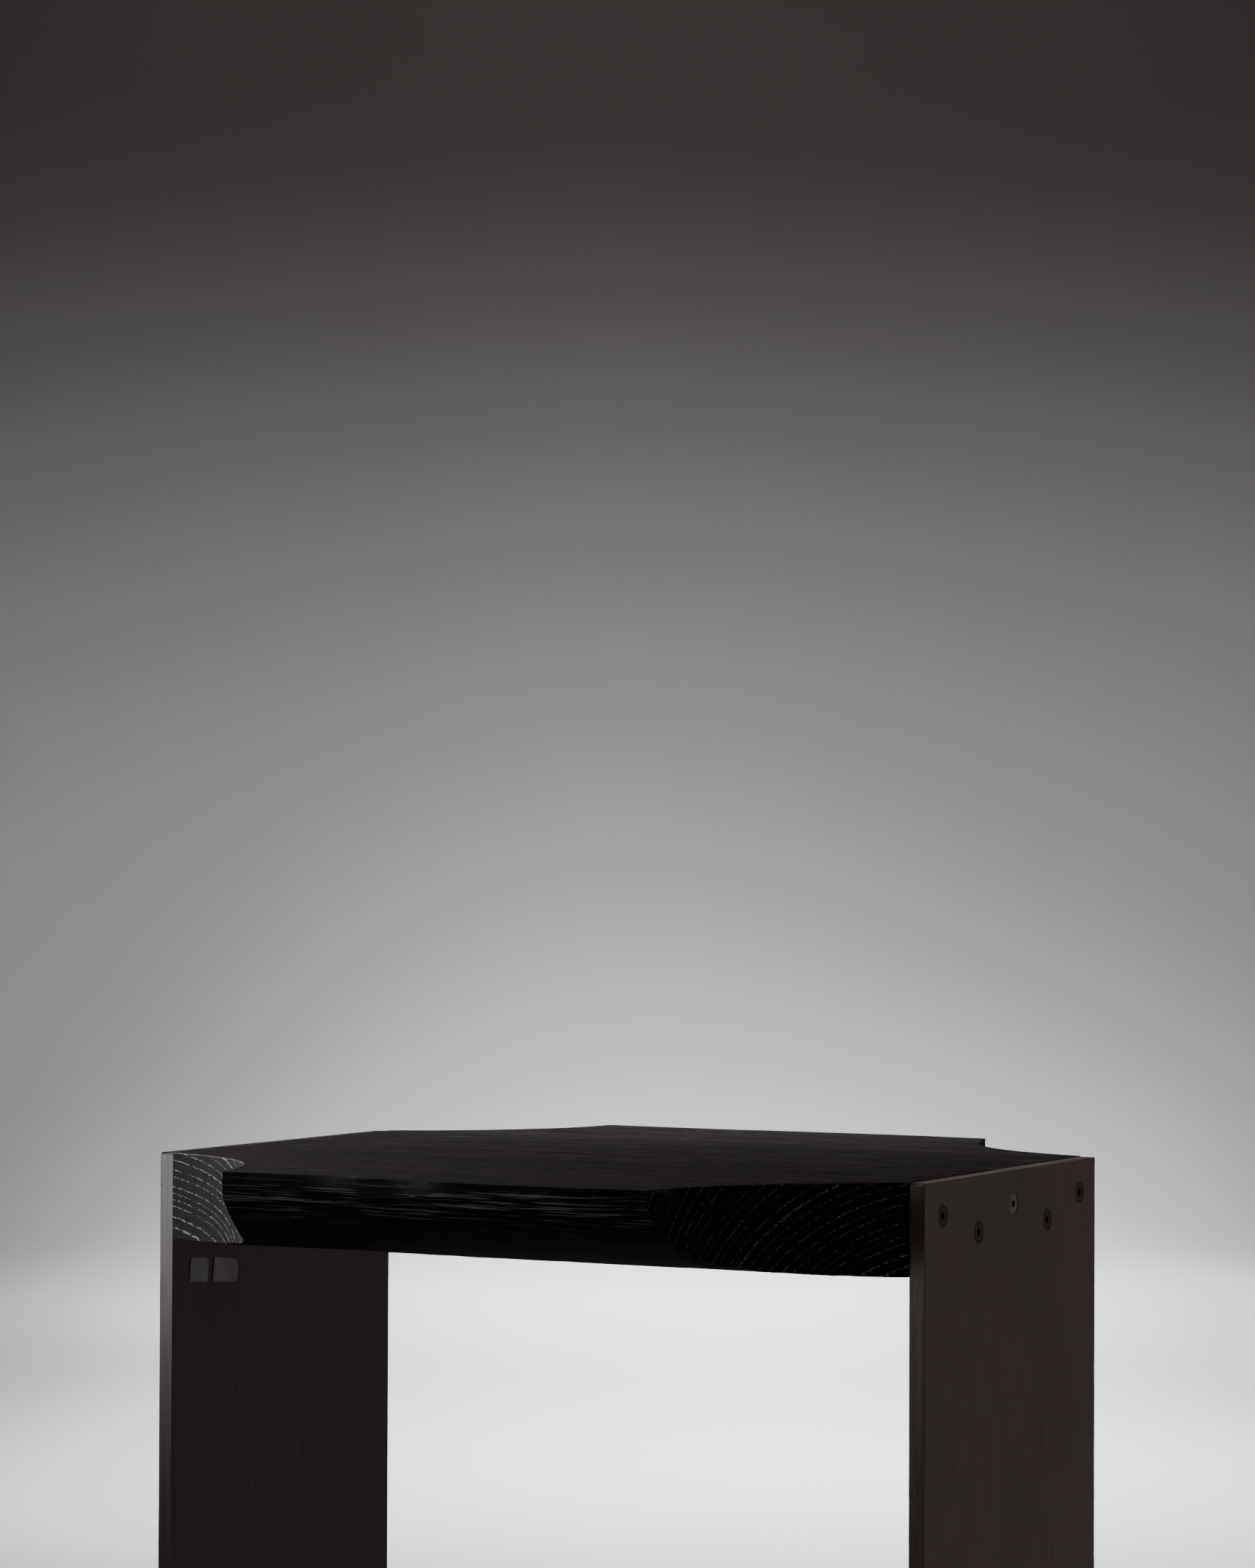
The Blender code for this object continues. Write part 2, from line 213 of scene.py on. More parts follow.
def grid_faces(rows, columns):
    """Quads between neighbouring closed rows of points, numbered row by row."""
    faces = []
    for i in range(rows - 1):
        for j in range(columns):
            k = (j + 1) % columns
            faces.append((i * columns + j, i * columns + k, (i + 1) * columns + k,
                          (i + 1) * columns + j))
    return faces


def prism_mesh(name, points):
    """A closed mesh between two like outlines, whose points are given one after the other."""
    count = len(points) // 2
    caps = [tuple(range(count)), tuple(range(count, 2 * count))[::-1]]
    return mesh_from(name, points, grid_faces(2, count) + caps)


def rounded_rectangle(width, height, rear_corner, front_corner, corner_steps):
    """A rounded rectangle's outline in Y and Z about the origin; each corner is a quarter turn."""
    points = []
    for quarter, (sy, sz) in enumerate(((1, 1), (-1, 1), (-1, -1), (1, -1))):
        radius = rear_corner if sy > 0 else front_corner
        for step in range(corner_steps + 1):
            angle = math.pi / 2 * (quarter + step / corner_steps)
            points.append((sy * (width / 2 - radius) + radius * math.cos(angle),
                           sz * (height / 2 - radius) + radius * math.sin(angle)))
    return points


def bezier_points(points, steps):
    """Points along one Bezier stretch in a plane."""
    corners = [Vector(p) for p in points]
    return np.array([tuple(p) for p in interpolate_bezier(*corners, steps + 1)])


def arc_lengths(points):
    """Distance along a line of points."""
    steps = np.linalg.norm(np.diff(points, axis=0), axis=1)
    return np.concatenate(([0.0], np.cumsum(steps)))


def smoothstep(low, high, value):
    """0 below low, 1 above high and smooth between."""
    t = min(max((value - low) / (high - low), 0.0), 1.0)
    return t * t * (3 - 2 * t)


def cut(obj, cutter):
    """Cut a mesh object with another one, which is then removed."""
    boolean = obj.modifiers.new("Cut", "BOOLEAN")
    boolean.operation = "DIFFERENCE"
    boolean.solver = "EXACT"
    boolean.object = cutter
    bpy.context.view_layer.update()
    depsgraph = bpy.context.evaluated_depsgraph_get()
    mesh = bpy.data.meshes.new_from_object(
        obj.evaluated_get(depsgraph), preserve_all_data_layers=True, depsgraph=depsgraph)
    obj.modifiers.clear()
    obj.data = mesh
    bpy.data.objects.remove(cutter, do_unlink=True)


def shade(obj, angle_degrees=38):
    """Smooth shading that keeps the corners sharp and the flat faces flat."""
    obj.data.shade_smooth()
    obj.data.set_sharp_from_angle(angle=math.radians(angle_degrees))
    weighted = obj.modifiers.new("Flat faces first", "WEIGHTED_NORMAL")
    weighted.keep_sharp = True


def finish_piece(obj, material, slot, *nodes):
    """Give a piece its material, and let it stand for its CAD nodes."""
    obj.data.materials.clear()
    obj.data.materials.append(material)
    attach(obj, "root")
    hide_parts(*nodes)


# Materials

class Graph:
    """A material's node tree, with short calls for the nodes that it needs."""

    def __init__(self, name):
        self.material = bpy.data.materials.new(name)
        self.material.use_nodes = True
        self.tree = self.material.node_tree
        self.shader = self.tree.nodes["Principled BSDF"]
        coordinates = self.tree.nodes.new("ShaderNodeTexCoord")
        self.position = coordinates.outputs["Object"]
        self.normal = coordinates.outputs["Normal"]
        split = self.node("ShaderNodeSeparateXYZ", {"Vector": self.position})
        self.x, self.y, self.z = (split.outputs[axis] for axis in "XYZ")

    def node(self, kind, inputs=None, **settings):
        """A node with its settings, its input values and its incoming links."""
        made = self.tree.nodes.new(kind)
        for key, value in settings.items():
            setattr(made, key, value)
        for key, value in (inputs or {}).items():
            self.feed(made.inputs[key], value)
        return made

    def feed(self, socket, value):
        """Link a socket's source, or set its value."""
        if isinstance(value, bpy.types.NodeSocket):
            self.tree.links.new(value, socket)
        else:
            socket.default_value = value

    def math(self, operation, a, b=0.0, c=0.0, clamp=False):
        """One arithmetic step."""
        made = self.node("ShaderNodeMath", {0: a, 1: b, 2: c}, operation=operation)
        made.use_clamp = clamp
        return made.outputs[0]

    def times(self, a, b):
        """The product of two values."""
        return self.math("MULTIPLY", a, b)

    def vector(self, x, y, z):
        """Three numbers as a vector."""
        return self.node("ShaderNodeCombineXYZ", {"X": x, "Y": y, "Z": z}).outputs[0]

    def stretched(self, x_scale, y_scale, z_scale, offset=0.0):
        """The position, scaled on each axis and moved by an offset."""
        made = self.node("ShaderNodeMapping", {
            "Vector": self.position,
            "Scale": (x_scale, y_scale, z_scale),
            "Location": (offset, offset * 0.7, offset * 1.3),
        })
        return made.outputs[0]

    def noise(self, vector, detail=2.0, roughness=0.5, scale=1.0):
        """Noise from 0 to 1."""
        made = self.node("ShaderNodeTexNoise", {
            "Vector": vector, "Scale": scale, "Detail": detail, "Roughness": roughness})
        return made.outputs["Fac"]

    def cells(self, vector):
        """Distance to the nearest of a field of scattered points."""
        made = self.node("ShaderNodeTexVoronoi", {"Vector": vector, "Scale": 1.0})
        return made.outputs["Distance"]

    def ramp(self, value, low, high, to_low=0.0, to_high=1.0):
        """A smooth step from one value to another."""
        made = self.node("ShaderNodeMapRange", {
            "Value": value, "From Min": low, "From Max": high,
            "To Min": to_low, "To Max": to_high}, interpolation_type="SMOOTHSTEP")
        return made.outputs[0]

    def blend(self, factor, a, b):
        """Mix two colours."""
        made = self.node("ShaderNodeMix", {"Factor": factor}, data_type="RGBA")
        for socket, value in ((made.inputs[6], a), (made.inputs[7], b)):
            self.feed(socket, value if isinstance(value, bpy.types.NodeSocket) else (*value, 1.0))
        return made.outputs[2]

    def attribute(self, name):
        """A number stored on the mesh's points."""
        return self.node("ShaderNodeAttribute", attribute_name=name).outputs["Fac"]

    def bump(self, height, strength, distance):
        """Link a height to the shader's normal."""
        made = self.node("ShaderNodeBump", {
            "Height": height, "Strength": strength, "Distance": distance})
        self.feed(self.shader.inputs["Normal"], made.outputs[0])

    def surface(self, **inputs):
        """Feed the shader's sockets, named with _ for a space."""
        for key, value in inputs.items():
            socket = self.shader.inputs[key.replace("_", " ")]
            if isinstance(value, tuple):
                value = (*value, 1.0)
            self.feed(socket, value)


def growth_rings(g, pith_y, pith_z, seed):
    """The ring count, the distance from the pith and the angle round it.

    The rings are bent a little, so that no line on the wood is quite straight.
    """
    sway_y = g.noise(g.stretched(4.0, 9.0, 9.0, seed), detail=1.0)
    sway_z = g.noise(g.stretched(3.0, 7.0, 7.0, seed + 5.0), detail=1.0)
    from_pith_y = g.math("ADD", g.y, g.math("MULTIPLY_ADD", sway_y, 0.012, -0.006 - pith_y))
    from_pith_z = g.math("ADD", g.z, g.math("MULTIPLY_ADD", sway_z, 0.008, -0.004 - pith_z))
    squared = g.math("ADD", g.math("POWER", from_pith_y, 2.0), g.math("POWER", from_pith_z, 2.0))
    radius = g.math("SQRT", squared)
    angle = g.math("ARCTAN2", from_pith_z, from_pith_y)
    uneven = g.noise(g.vector(g.times(radius, 70.0), seed, 0.0), detail=1.0)
    ring = g.math("ADD", g.math("DIVIDE", radius, RING_PITCH), g.times(uneven, 2.6))
    ragged = g.noise(g.stretched(30.0, 520.0, 520.0, seed + 1.0), detail=2.0, roughness=0.6)
    return g.math("MULTIPLY_ADD", ragged, 0.22, ring), radius, angle


def edge_streaks(g, seed):
    """Fine wavy pale lines of grain just under the show face's edge, painted pale as a highlight where
    light catches them.
    """
    below = g.math("SUBTRACT", SHOW_Z, g.z)
    waver = g.times(g.noise(g.stretched(24.0, 12.0, 12.0, seed), detail=3.0), 2.2)
    place = g.vector(g.times(g.x, 16.0), seed, g.math("MULTIPLY_ADD", below, 820.0, waver))
    lines = g.ramp(g.noise(place, detail=2.0, roughness=0.6), 0.52, 0.68)
    zone = g.times(g.ramp(below, 0.003, 0.007), g.ramp(below, 0.012, 0.038, 1.0, 0.0))
    return g.times(lines, zone)


def end_grain_filler(g, rim, across_ring, seed):
    """Pale filler in the cut vessels, which lie close together in each ring's first wood.

    It is dimmed towards the right-hand end, as painted shade.
    """
    early_line = g.times(rim, g.ramp(across_ring, 0.08, 0.17, 1.0, 0.0))
    vessels = g.ramp(g.cells(g.stretched(30.0, 900.0, 900.0, seed)), 0.42, 0.60, 1.0, 0.0)
    broken = g.ramp(g.noise(g.stretched(12.0, 130.0, 130.0, seed + 8.0), detail=2.0), 0.30, 0.55)
    dashes = g.times(g.times(vessels, early_line), g.math("MULTIPLY_ADD", broken, 0.75, 0.25))
    # Painted shade: the filler is dimmed towards the right-hand end
    return g.times(dashes, g.ramp(g.x, -0.1, 0.1, 1.0, 0.55))


def long_grain_flecks(g, rim, across_ring, upward, seed):
    """Vessels as short pale flecks and a few longer lines, which show most on the show face."""
    porous = g.times(rim, g.ramp(across_ring, 0.20, 0.55, 1.0, 0.0))
    fleck = g.ramp(g.cells(g.stretched(34.0, 900.0, 900.0, seed + 3.0)), 0.14, 0.34, 1.0, 0.0)
    patch = g.ramp(g.noise(g.stretched(4.0, 90.0, 90.0, seed + 8.0), detail=3.0), 0.34, 0.66)
    flecks = g.times(fleck, g.math("MULTIPLY_ADD", porous, 0.50, 0.08))
    flecks = g.times(flecks, g.math("MULTIPLY_ADD", patch, 0.6, 0.4))
    line = g.noise(g.stretched(9.0, 700.0, 700.0, seed + 6.0), detail=2.0)
    flecks = g.math("MAXIMUM", flecks, g.ramp(line, 0.62, 0.72, 0.0, 0.16))
    return g.times(flecks, g.math("MULTIPLY_ADD", upward, 0.78, 0.22))


def oak_stain(g, streak, band, upward, end_grain, seed, paler):
    """The ground colour: nearly black, with paler and browner streaks along the grain, and painted
    shade on the faces that don't face up.
    """
    cloud = g.noise(g.stretched(5.0, 8.0, 8.0, seed + 2.0), detail=2.0)
    ground = g.blend(g.ramp(streak, 0.36, 0.68), STAIN, PALE_STAIN)
    ground = g.blend(g.times(g.ramp(cloud, 0.45, 0.75), 0.30), ground, BROWN_STAIN)
    fibres = g.noise(g.stretched(14.0, 300.0, 300.0, seed + 9.0), detail=3.0, roughness=0.65)
    speckle = g.noise(g.stretched(48.0, 150.0, 150.0, seed + 4.0), detail=2.0, roughness=0.7)
    speckle = g.math("MULTIPLY_ADD", fibres, 0.6, g.times(speckle, 0.4))
    lifted = g.times(g.ramp(speckle, 0.46, 0.62, 0.0, 0.85), upward)
    lifted = g.times(lifted, g.math("MULTIPLY_ADD", band, 0.80, 0.35))
    # Painted shade: faces that don't face up are darkened
    ground = g.blend(g.math("MULTIPLY_ADD", upward, -0.75, 0.75), ground, SIDE_AND_UNDER_SHADE)
    ground = g.blend(lifted, ground, paler)
    ground = g.blend(g.ramp(speckle, 0.38, 0.48, 0.6, 0.0), ground, DEEP_STAIN)
    return g.blend(g.times(end_grain, 0.85), ground, END_GRAIN_STAIN)


def ray_flecks(g, radius, angle):
    """Rays: thin sheets that run out from the pith."""
    place = g.vector(g.times(g.x, 55.0), g.times(angle, 330.0), g.times(radius, 9.0))
    return g.ramp(g.noise(place, detail=0.0), 0.66, 0.78)


def oak_material(name, pith_y, pith_z, seed, paler, joint_y):
    """Blackened open-grained oak, cut from a log whose pith runs along X at pith_y and pith_z."""
    g = Graph(name)
    facing = g.node("ShaderNodeSeparateXYZ", {"Vector": g.normal})
    end_grain = g.ramp(g.math("ABSOLUTE", facing.outputs["X"]), 0.12, 0.30)
    upward = g.ramp(facing.outputs["Z"], 0.45, 0.85)
    ring, radius, angle = growth_rings(g, pith_y, pith_z, seed)
    across_ring = g.math("FRACT", ring)
    rim = g.ramp(across_ring, 0.0, 0.05)
    streak = g.noise(g.stretched(1.6, 62.0, 62.0, seed + 11.0), detail=5.0, roughness=0.65)
    band = g.noise(g.stretched(6.0, 75.0, 75.0, seed + 7.0), detail=3.0, roughness=0.7)
    band = g.ramp(band, 0.40, 0.62)
    # How much pale filler shows, and the pale lines under the show face's edge, which are painted
    # highlight on the grain
    light = g.node("ShaderNodeMix", {
        "Factor": end_grain,
        2: long_grain_flecks(g, rim, across_ring, upward, seed),
        3: end_grain_filler(g, rim, across_ring, seed),
    }).outputs[0]
    # Painted highlight: pale grain lines just under the show face's edge
    streaks = g.times(edge_streaks(g, seed), g.math("SUBTRACT", 1.0, end_grain))
    light = g.math("MULTIPLY_ADD", streaks, 0.30, light, clamp=True)
    # Colour: the stain, the rays, the filler, the pale sawn edges, partly rubbed and partly painted
    # highlight, and the dark line along the joint
    ground = oak_stain(g, streak, band, upward, end_grain, seed, paler)
    rays = g.times(ray_flecks(g, radius, angle), g.math("MULTIPLY_ADD", upward, 0.10, 0.03))
    ground = g.blend(rays, ground, RAY_COLOUR)
    colour = g.blend(light, ground, FILLER)
    wear_and_highlight = g.times(g.attribute("wear_and_highlight"), g.ramp(streak, 0.25, 0.60))
    # The sawn edges painted pale: partly rubbed, partly painted highlight
    colour = g.blend(g.times(wear_and_highlight, 0.45), colour, PALE_EDGE_AND_HIGHLIGHT)
    from_joint = g.math("ABSOLUTE", g.math("SUBTRACT", g.y, joint_y))
    colour = g.blend(g.ramp(from_joint, 0.0006, 0.0016, 0.92, 0.0), colour, JOINT_STAIN)
    # Gloss and relief
    grain = g.noise(g.stretched(60.0, 1500.0, 1500.0, seed), detail=3.0)
    shine = g.times(g.math("SUBTRACT", band, 0.5), upward)
    roughness = g.math("MULTIPLY_ADD", grain, 0.20, 0.58)
    roughness = g.math("ADD", roughness, g.times(light, 0.25))
    roughness = g.math("MULTIPLY_ADD", shine, -0.20, roughness, clamp=True)
    g.surface(Base_Color=colour, Roughness=roughness)
    g.shader.inputs["Specular IOR Level"].default_value = 0.14
    early_band = g.times(rim, g.ramp(across_ring, 0.15, 0.70, 1.0, 0.0))
    relief = g.math("SUBTRACT", g.times(grain, 0.35), light)
    relief = g.math("ADD", relief, g.times(early_band, -0.2))
    relief = g.math("MULTIPLY_ADD", shine, 0.6, relief)
    g.bump(relief, 0.45, 0.0006)
    return g.material


def brushed_steel(name, seed, dark=(0.27, 0.262, 0.256), pale=(0.37, 0.358, 0.350)):
    """Satin steel brushed along Z, with faint stains, scratches and pits, and edges and hole rims
    painted pale: partly rubbed, partly painted highlight.
    """
    g = Graph(name)
    brushed = g.noise(g.stretched(2600.0, 2600.0, 9.0, seed), detail=2.0)
    bands = g.noise(g.stretched(260.0, 260.0, 3.0, seed + 4.0), detail=3.0)
    stains = g.noise(g.stretched(9.0, 9.0, 6.0, seed + 7.0), detail=4.0, roughness=0.6)
    strokes = g.noise(g.stretched(900.0, 900.0, 22.0, seed + 1.0), detail=2.0, roughness=0.6)
    tone = g.math("MULTIPLY_ADD", brushed, 0.35, g.times(bands, 0.12))
    tone = g.math("MULTIPLY_ADD", strokes, 0.53, tone)
    colour = g.blend(g.ramp(tone, 0.34, 0.66), dark, pale)
    colour = g.blend(g.ramp(stains, 0.50, 0.80, 0.0, 0.12), colour, (0.15, 0.125, 0.11))
    pits = g.ramp(g.cells(g.stretched(85.0, 85.0, 85.0, seed)), 0.035, 0.075, 1.0, 0.0)
    colour = g.blend(g.times(pits, 0.8), colour, (0.03, 0.026, 0.024))
    scratch_place = g.node("ShaderNodeMapping", {
        "Vector": g.position, "Rotation": (0.35, 0.0, 0.2), "Scale": (500.0, 500.0, 14.0)})
    scratches = g.ramp(g.noise(scratch_place.outputs[0], detail=0.0), 0.80, 0.86)
    colour = g.blend(g.times(scratches, 0.12), colour, (0.62, 0.60, 0.58))
    # Broken edges and hole rims painted pale: partly rubbed, partly painted highlight
    wear_and_highlight = g.attribute("wear_and_highlight")
    colour = g.blend(g.times(wear_and_highlight, 0.75), colour, (0.74, 0.71, 0.69))
    roughness = g.math("MULTIPLY_ADD", tone, 0.16, 0.30)
    roughness = g.math("ADD", roughness, g.ramp(stains, 0.45, 0.80, 0.0, 0.03))
    g.surface(Base_Color=colour, Roughness=roughness)
    g.shader.inputs["Metallic"].default_value = 1.0
    g.shader.inputs["Anisotropic"].default_value = 0.60
    tangent = g.node("ShaderNodeTangent", direction_type="RADIAL", axis="Z")
    g.feed(g.shader.inputs["Tangent"], tangent.outputs[0])
    relief = g.math("SUBTRACT", g.times(tone, 0.5), pits)
    g.bump(relief, 0.25, 0.0001)
    return g.material


def turned_steel(name, dark, pale, roughness_low, seed):
    """Metal of a small fastener: mottled and finely marked, with a painted highlight on the marked
    points of a screw head's rim.
    """
    g = Graph(name)
    mottle = g.noise(g.stretched(420.0, 420.0, 420.0, seed), detail=4.0, roughness=0.6)
    fine = g.noise(g.stretched(2400.0, 2400.0, 2400.0, seed), detail=1.0)
    colour = g.blend(g.ramp(mottle, 0.35, 0.68), dark, pale)
    # Painted highlight on a screw head's rim
    wear_and_highlight = g.attribute("wear_and_highlight")
    colour = g.blend(g.times(wear_and_highlight, 0.6), colour, (0.55, 0.54, 0.52))
    g.surface(Base_Color=colour, Roughness=g.math("MULTIPLY_ADD", mottle, 0.25, roughness_low))
    g.shader.inputs["Metallic"].default_value = 1.0
    g.bump(fine, 0.2, 0.00006)
    return g.material


def beech_material():
    """Pale beech with short brown flecks and straight grain, along Y."""
    g = Graph("beech_tenon")
    grain = g.noise(g.stretched(300.0, 12.0, 300.0, 1.0), detail=3.0)
    fleck = g.ramp(g.cells(g.stretched(900.0, 190.0, 900.0, 2.0)), 0.10, 0.30, 1.0, 0.0)
    colour = g.blend(g.ramp(grain, 0.3, 0.7), (0.50, 0.33, 0.19), (0.63, 0.45, 0.28))
    colour = g.blend(g.times(fleck, 0.5), colour, (0.30, 0.16, 0.08))
    g.surface(Base_Color=colour, Roughness=g.math("MULTIPLY_ADD", grain, 0.2, 0.5))
    g.bump(g.math("SUBTRACT", grain, fleck), 0.3, 0.0002)
    return g.material


def paper_material():
    """Blank label paper with fibres and a faint mottle, painted dark grey as painted shade on white
    paper.
    """
    g = Graph("label_paper_shaded")
    fibre = g.noise(g.stretched(1500.0, 1500.0, 3600.0, 1.0), detail=4.0, roughness=0.65)
    age = g.noise(g.stretched(90.0, 90.0, 90.0, 3.0), detail=3.0)
    # Painted shade: the paper's greys are far darker than white paper
    colour = g.blend(g.ramp(age, 0.3, 0.7), (0.35, 0.335, 0.325), (0.28, 0.265, 0.255))
    colour = g.blend(g.times(fibre, 0.25), colour, (0.23, 0.215, 0.20))
    g.surface(Base_Color=colour, Roughness=g.math("MULTIPLY_ADD", fibre, 0.1, 0.75))
    g.bump(fibre, 0.3, 0.00008)
    return g.material


# The planks

class Plank:
    """One plank as a grid: stations along X, each with a closed line of points round the section."""

    def __init__(self, node, side):
        self.node = node
        self.side = side
        low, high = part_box(node)
        joint_y = high.y if side < 0 else low.y
        self.joint = side * joint_y - HALF_PLATE
        self.shortfall = SHORTFALL[node]
        show_edge = bezier_points(SHOW_EDGE_CURVE, SHOW_EDGE_STEPS)
        self.top = np.vstack(([self.joint, 0.0], show_edge))
        under = bezier_points(NOSE_CURVE, NOSE_STEPS)[::-1]
        self.under = np.vstack(([self.joint, THICKNESS], under))
        self.top_arc = arc_lengths(self.top)
        self.under_arc = arc_lengths(self.under)
        self.show_edge_arcs = np.linspace(self.top_arc[1], self.top_arc[-1], SHOW_EDGE_ROWS + 1)[1:]
        self.under_shares = np.linspace(0.0, 1.0, UNDER_ROWS)

    def rows_along_top(self, end):
        """Where the rows lie between the joint and the end of one station's show face.

        The rows on the rounded edge keep their places, so that a scoop cuts across them cleanly.
        """
        rows = [0.0, 2 * JOINT_CHAMFER]
        rows += list(np.linspace(2 * JOINT_CHAMFER, min(self.top_arc[1], end), TOP_ROWS)[1:])
        return rows + [min(arc, end) for arc in self.show_edge_arcs]

    def reach(self, x):
        """How far out the nose lies at one place along the plank."""
        places, shortfalls = zip(*self.shortfall)
        before = np.clip(np.searchsorted(places, x) - 1, 0, len(places) - 2)
        share = smoothstep(places[before], places[before + 1], x)
        short = shortfalls[before] * (1 - share) + shortfalls[before + 1] * share
        wobble = WOBBLE * (1 + noise.noise(Vector((x * 26.0, self.side * 3.0, 0.5))))
        return OVERHANG - short - wobble * smoothstep(0.0, WOBBLE_START, short)

    def distance_at(self, arcs, line, x, outward):
        """Distance along a surface line to the point that lies this far out."""
        full = outward * OVERHANG / self.reach(x) if outward > 0 else outward
        return float(np.interp(full, line[:, 0], arcs))

    def top_point(self, x, distance):
        """A point on the show face or the upper side of the nose."""
        outward = float(np.interp(distance, self.top_arc, self.top[:, 0]))
        drop = float(np.interp(distance, self.top_arc, self.top[:, 1]))
        outward = outward * self.reach(x) / OVERHANG if outward > 0 else outward
        drop += self.cup(x, outward)
        if distance < JOINT_CHAMFER:
            drop += JOINT_CHAMFER
        return Vector((x, self.side * (HALF_PLATE + outward), SHOW_Z - drop))

    def cup(self, x, outward):
        """How far the show face has sunk beside the joint, and its slight unevenness."""
        from_joint = outward - self.joint
        edge_fade = smoothstep(0.0, UNEVENNESS_FADE, self.reach(x) - outward)
        uneven = UNEVENNESS * (1 + noise.noise(Vector((x * 5.0, from_joint * 24.0, self.side * 7.0))))
        sunk = 0.0
        if self.side > 0:
            across = math.exp(-((from_joint - CUP_MIDDLE) / CUP_SPREAD) ** 2)
            sunk = CUP_DEPTH * across * smoothstep(-0.12, 0.05, x)
        return (uneven + sunk) * edge_fade

    def under_point(self, x, distance):
        """A point on the underside, the natural edge's undulation included."""
        outward = float(np.interp(distance, self.under_arc, self.under[:, 0]))
        drop = float(np.interp(distance, self.under_arc, self.under[:, 1]))
        outward = outward * self.reach(x) / OVERHANG if outward > 0 else outward
        fade = smoothstep(0.0, RIPPLE_START, outward)
        fade *= smoothstep(0.0, RIPPLE_FADE, self.under_arc[-1] - distance)
        wave = noise.noise(Vector((x * 11.0, distance * 70.0, self.side * 2.0)))
        wave += 0.6 * noise.noise(Vector((x * 26.0, distance * 150.0, self.side * 5.0)))
        drop -= RIPPLE * (1.2 + wave) * fade
        return Vector((x, self.side * (HALF_PLATE + outward), SHOW_Z - drop))

    def scoop_line(self, x_side):
        """Points of one scoop from the plate to the horn's tip, as X and outward distance."""
        along = bezier_points(SCOOPS[(self.node, x_side)], SCOOP_STEPS)
        line = [(x_side * (HALF_LENGTH - a), q) for a, q in along]
        line = [(x, q) for x, q in line if q < self.reach(x) - TIP_RADIUS]
        spread = arc_lengths(np.array(line))
        wanted = np.linspace(0.0, spread[-1], SCOOP_STATIONS)
        xs = np.interp(wanted, spread, [p[0] for p in line])
        qs = np.interp(wanted, spread, [p[1] for p in line])
        # The tip: a quarter turn or so from the scoop's last direction to the nose's
        heading = math.atan2(qs[-1] - qs[-2], x_side * (xs[-2] - xs[-1]))
        step = TIP_RADIUS * heading / TIP_STATIONS
        points = list(zip(xs, qs))
        for index in range(TIP_STATIONS):
            heading_now = heading * (1 - (index + 0.5) / TIP_STATIONS)
            x, q = points[-1]
            x -= x_side * step * math.cos(heading_now)
            points.append((x, min(q + step * math.sin(heading_now), self.reach(x))))
        points[-1] = (points[-1][0], self.reach(points[-1][0]))
        return points

    def scoop_stations(self, x_side):
        """For each point of a scoop: its place, its inward normal and its crease radius."""
        points = self.scoop_line(x_side)
        lengths = arc_lengths(np.array(points))
        stations = []
        for index, (x, q) in enumerate(points):
            before = points[max(index - 1, 0)]
            after = points[min(index + 1, len(points) - 1)]
            dx, dq = after[0] - before[0], after[1] - before[1]
            length = math.hypot(dx, dq)
            inward = Vector((-x_side * abs(dq) / length, -abs(dx) / length))
            radius = CREASE_RADIUS * smoothstep(0.0, CREASE_FADE, lengths[-1] - lengths[index])
            stations.append((Vector((x, q)), inward, radius))
        return stations

    def section(self, place, inward, radius):
        """The points round one station, from the joint's top edge to its bottom edge."""
        x, outward = place
        set_back = place + inward * radius
        line_x = set_back.x
        top_end = self.distance_at(self.top_arc, self.top, line_x, set_back.y)
        top = [self.top_point(line_x, distance) for distance in self.rows_along_top(top_end)]
        under_end = self.distance_at(self.under_arc, self.under, line_x, set_back.y)
        under = [self.under_point(line_x, share * under_end) for share in self.under_shares]
        corner = self.top_point(x, self.distance_at(self.top_arc, self.top, x, outward))
        foot = self.under_point(x, self.distance_at(self.under_arc, self.under, x, outward))
        down = Vector((0, 0, -radius))
        crease = self.rounded(top[-1], corner, corner + down)
        wall = [(corner + down).lerp(foot - down, share)
                for share in np.linspace(0.0, 1.0, WALL_ROWS + 2)]
        low_crease = self.rounded(foot - down, foot, under[-1])
        return top + crease + wall + low_crease + under[::-1]

    @staticmethod
    def rounded(start, corner, end):
        """Points between start and end, on an arc that leans towards the corner."""
        points = []
        for index in range(1, CREASE_ROWS):
            t = index / CREASE_ROWS
            points.append(start * (1 - t) ** 2 + corner * 2 * t * (1 - t) + end * t ** 2)
        return points

    def build(self):
        """The plank's mesh, still without its holes."""
        left = self.scoop_stations(-1)
        right = self.scoop_stations(1)
        first, last = left[-1][0].x, right[-1][0].x
        middle = []
        for x in np.linspace(first, last, MIDDLE_STATIONS + 2)[1:-1]:
            middle.append((Vector((x, self.reach(x))), Vector((0, 0)), 0.0))
        stations = left + middle + right[::-1]
        rings = [self.section(*station) for station in stations]
        rows, columns = len(rings), len(rings[0])
        faces = grid_faces(rows, columns)
        faces.append(tuple(range(columns)))
        faces.append(tuple(range((rows - 1) * columns, rows * columns))[::-1])
        points = [point for ring in rings for point in ring]
        mesh = mesh_from(self.node + "_finished", points, faces)
        return link(self.node + "_finished", mesh)


def mark_wear_and_highlight(obj, rule):
    """Store how pale each point is painted, from 0 to 1: rubbed edges and painted highlights."""
    attribute = obj.data.attributes.new("wear_and_highlight", "FLOAT", "POINT")
    values = [rule(vertex) for vertex in obj.data.vertices]
    attribute.data.foreach_set("value", values)


